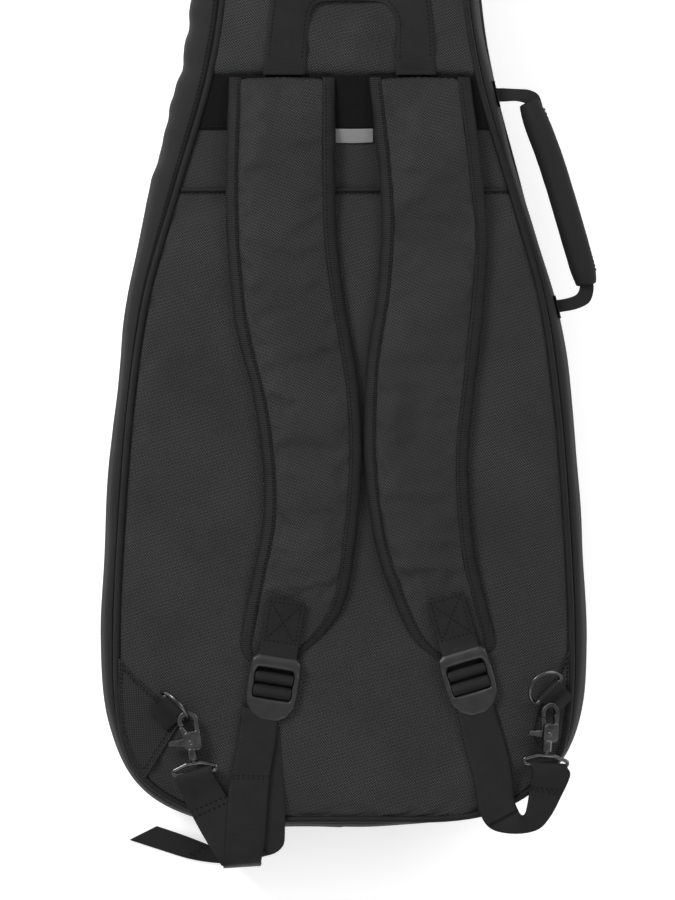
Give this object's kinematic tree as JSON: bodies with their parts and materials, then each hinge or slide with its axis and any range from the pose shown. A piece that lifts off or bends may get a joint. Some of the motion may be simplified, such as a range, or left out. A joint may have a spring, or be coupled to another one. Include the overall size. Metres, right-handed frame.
{
  "type": "padded gig bag",
  "caption": "Padded guitar gig bag with back pocket, shoulder straps on adjustable webbing clipped to D-rings, haul and side handles, and a zipped clamshell body.",
  "frame": {"origin": "on the flat front pocket that the bag lies on, on the bag's centreline, level with the widest part of the lower bout", "axes": "+X to the right with the back panel facing the viewer and the neck up, +Y towards the neck end, +Z out of the back panel, up"},
  "size_m": [0.3921, 1.0922, 0.1261],
  "materials": {
    "outer_weave": "coated ballistic-weave nylon, matte with small glints",
    "gusset_fabric": "finer nylon, slightly smoother",
    "foam": "closed-cell foam padding",
    "lining_plush": "soft brushed lining",
    "binding": "ribbed edge tape",
    "webbing": "woven nylon webbing",
    "zip_chain": "coil zip, matte",
    "label": "plain woven label",
    "buckle_plastic": "moulded acetal, satin",
    "hardware": "gunmetal plated, satin"
  },
  "bodies": {
    "front_half": {"front_panel": "outer_weave", "front_gusset": "gusset_fabric", "front_padding": "foam", "front_lining": "lining_plush", "front_piping": "binding", "front_zip_tape": "zip_chain", "hinge_gusset": "gusset_fabric", "front_pocket": "outer_weave", "pocket_zip": "zip_chain", "neck_cradle": "lining_plush", "neck_strap": "webbing", "tail_bumper": "foam"},
    "back_half": {"back_panel": "outer_weave", "back_gusset": "gusset_fabric", "back_padding": "foam", "back_lining": "lining_plush", "back_piping": "binding", "back_zip_tape": "zip_chain", "back_pocket_panel": "outer_weave", "pocket_hem": "gusset_fabric", "ribbed_band": "webbing", "yoke_panel": "outer_weave", "woven_label": "label", "corner_patch_left": "outer_weave", "corner_patch_right": "outer_weave", "ring_loop_left": "webbing", "ring_loop_right": "webbing", "side_handle_ends": "webbing"},
    "haul_handle": {"haul_handle": "webbing"},
    "side_handle": {"side_handle_grip": "gusset_fabric", "side_handle_webbing": "webbing"},
    "main_slider_lower": {"main_zip_slider_lower": "hardware"},
    "main_slider_upper": {"main_zip_slider_upper": "hardware"},
    "main_pull_lower": {"main_zip_pull_lower": "hardware"},
    "main_pull_upper": {"main_zip_pull_upper": "hardware"},
    "pocket_slider": {"pocket_zip_slider": "hardware"},
    "pocket_pull": {"pocket_zip_pull": "hardware"},
    "strap_left": {"shoulder_pad_left": "outer_weave", "strap_binding_left": "binding", "strap_tab_left": "webbing", "strap_webbing_left": "webbing", "webbing_tail_left": "webbing"},
    "buckle_left": {"ladder_lock_left": "buckle_plastic"},
    "ring_left": {"d_ring_left": "hardware"},
    "hook_left": {"snap_hook_left": "hardware"},
    "gate_left": {"hook_gate_left": "hardware"},
    "eye_left": {"swivel_eye_left": "hardware"},
    "strap_right": {"shoulder_pad_right": "outer_weave", "strap_binding_right": "binding", "strap_tab_right": "webbing", "strap_webbing_right": "webbing", "webbing_tail_right": "webbing"},
    "buckle_right": {"ladder_lock_right": "buckle_plastic"},
    "ring_right": {"d_ring_right": "hardware"},
    "hook_right": {"snap_hook_right": "hardware"},
    "gate_right": {"hook_gate_right": "hardware"},
    "eye_right": {"swivel_eye_right": "hardware"}
  },
  "joints": [
    {"name": "lid_hinge", "type": "hinge", "parent": "front_half", "child": "back_half", "pos_m": [-0.1915, 0.035, 0.052], "axis": [0, -1, 0], "range_deg": [0, 110], "deforming": ["hinge_gusset"]},
    {"name": "strap_lift_left", "type": "hinge", "parent": "back_half", "child": "strap_left", "pos_m": [-0.049, 0.445, 0.1012], "axis": [-1, 0, 0], "range_deg": [0, 20], "deforming": ["strap_webbing_left", "webbing_tail_left"]},
    {"name": "buckle_tilt_left", "type": "hinge", "parent": "strap_left", "child": "buckle_left", "pos_m": [-0.053, -0.0178, 0.1074], "axis": [-0.9874, 0.1582, 0], "range_deg": [0, 25]},
    {"name": "ring_swing_left", "type": "hinge", "parent": "back_half", "child": "ring_left", "pos_m": [-0.1339, -0.0522, 0.1082], "axis": [-0.6665, 0.7455, 0], "range_deg": [0, 10]},
    {"name": "hook_swing_left", "type": "hinge", "parent": "ring_left", "child": "hook_left", "pos_m": [-0.12287, -0.06191, 0.11388], "axis": [0.0097, -0.0691, 0.9976], "range_deg": [-6, 6]},
    {"name": "gate_left", "type": "hinge", "parent": "hook_left", "child": "gate_left", "pos_m": [-0.1204, -0.0795, 0.11264], "axis": [-0.0097, 0.0691, -0.9976], "range_deg": [0, 22], "stiffness_Nm_per_rad": 0.02, "springref_deg": -20.05},
    {"name": "eye_swivel_left", "type": "hinge", "parent": "hook_left", "child": "eye_left", "pos_m": [-0.11833, -0.09422, 0.1116], "axis": [-0.1388, 0.9879, 0.0698], "range_deg": [-8, 8]},
    {"name": "strap_lift_right", "type": "hinge", "parent": "back_half", "child": "strap_right", "pos_m": [0.0595, 0.445, 0.1012], "axis": [-1, 0, 0], "range_deg": [0, 20], "deforming": ["strap_webbing_right", "webbing_tail_right"]},
    {"name": "buckle_tilt_right", "type": "hinge", "parent": "strap_right", "child": "buckle_right", "pos_m": [0.0933, -0.0132, 0.1074], "axis": [-0.9588, -0.284, 0], "range_deg": [0, 25]},
    {"name": "ring_swing_right", "type": "hinge", "parent": "back_half", "child": "ring_right", "pos_m": [0.1615, -0.0399, 0.1082], "axis": [-0.7071, -0.7071, 0], "range_deg": [0, 10]},
    {"name": "hook_swing_right", "type": "hinge", "parent": "ring_right", "child": "hook_right", "pos_m": [0.16148, -0.05531, 0.11448], "axis": [0.4946, -0.0951, 0.8639], "range_deg": [-6, 6]},
    {"name": "gate_right", "type": "hinge", "parent": "hook_right", "child": "gate_right", "pos_m": [0.16024, -0.07302, 0.11324], "axis": [-0.4946, 0.0951, -0.8639], "range_deg": [0, 22], "stiffness_Nm_per_rad": 0.02, "springref_deg": -20.05},
    {"name": "eye_swivel_right", "type": "hinge", "parent": "hook_right", "child": "eye_right", "pos_m": [0.15921, -0.08785, 0.1122], "axis": [0.0696, 0.9951, 0.0698], "range_deg": [-8, 8]},
    {"name": "haul_handle_lift", "type": "hinge", "parent": "back_half", "child": "haul_handle", "pos_m": [0.0042, 0.447, 0.1029], "axis": [1, 0, 0], "range_deg": [0, 90]},
    {"name": "side_handle_swing", "type": "hinge", "parent": "back_half", "child": "side_handle", "pos_m": [0.1313, 0.432, 0.075], "axis": [0.248, -0.9688, 0], "range_deg": [-60, 60]},
    {"name": "main_slider_slide_lower", "type": "slide", "parent": "front_half", "child": "main_slider_lower", "axis": [0.0238, -0.9997, 0], "range_m": [0, 0.085]},
    {"name": "main_pull_swing_lower", "type": "hinge", "parent": "main_slider_lower", "child": "main_pull_lower", "pos_m": [0.10873, 0.68107, 0.052], "axis": [0.0238, -0.9997, 0], "range_deg": [0, 150]},
    {"name": "main_slider_slide_upper", "type": "slide", "parent": "front_half", "child": "main_slider_upper", "axis": [-0.0238, 0.9997, 0], "range_m": [0, 0.085]},
    {"name": "main_pull_swing_upper", "type": "hinge", "parent": "main_slider_upper", "child": "main_pull_upper", "pos_m": [0.10807, 0.70906, 0.052], "axis": [0.0238, -0.9997, 0], "range_deg": [0, 150]},
    {"name": "pocket_slider_slide", "type": "slide", "parent": "front_half", "child": "pocket_slider", "axis": [-1, 0, 0], "range_m": [0, 0.15]},
    {"name": "pocket_pull_swing", "type": "hinge", "parent": "pocket_slider", "child": "pocket_pull", "pos_m": [0.07, 0.2875, 0.0054], "axis": [1, 0, 0], "range_deg": [-6, 8]}
  ]
}
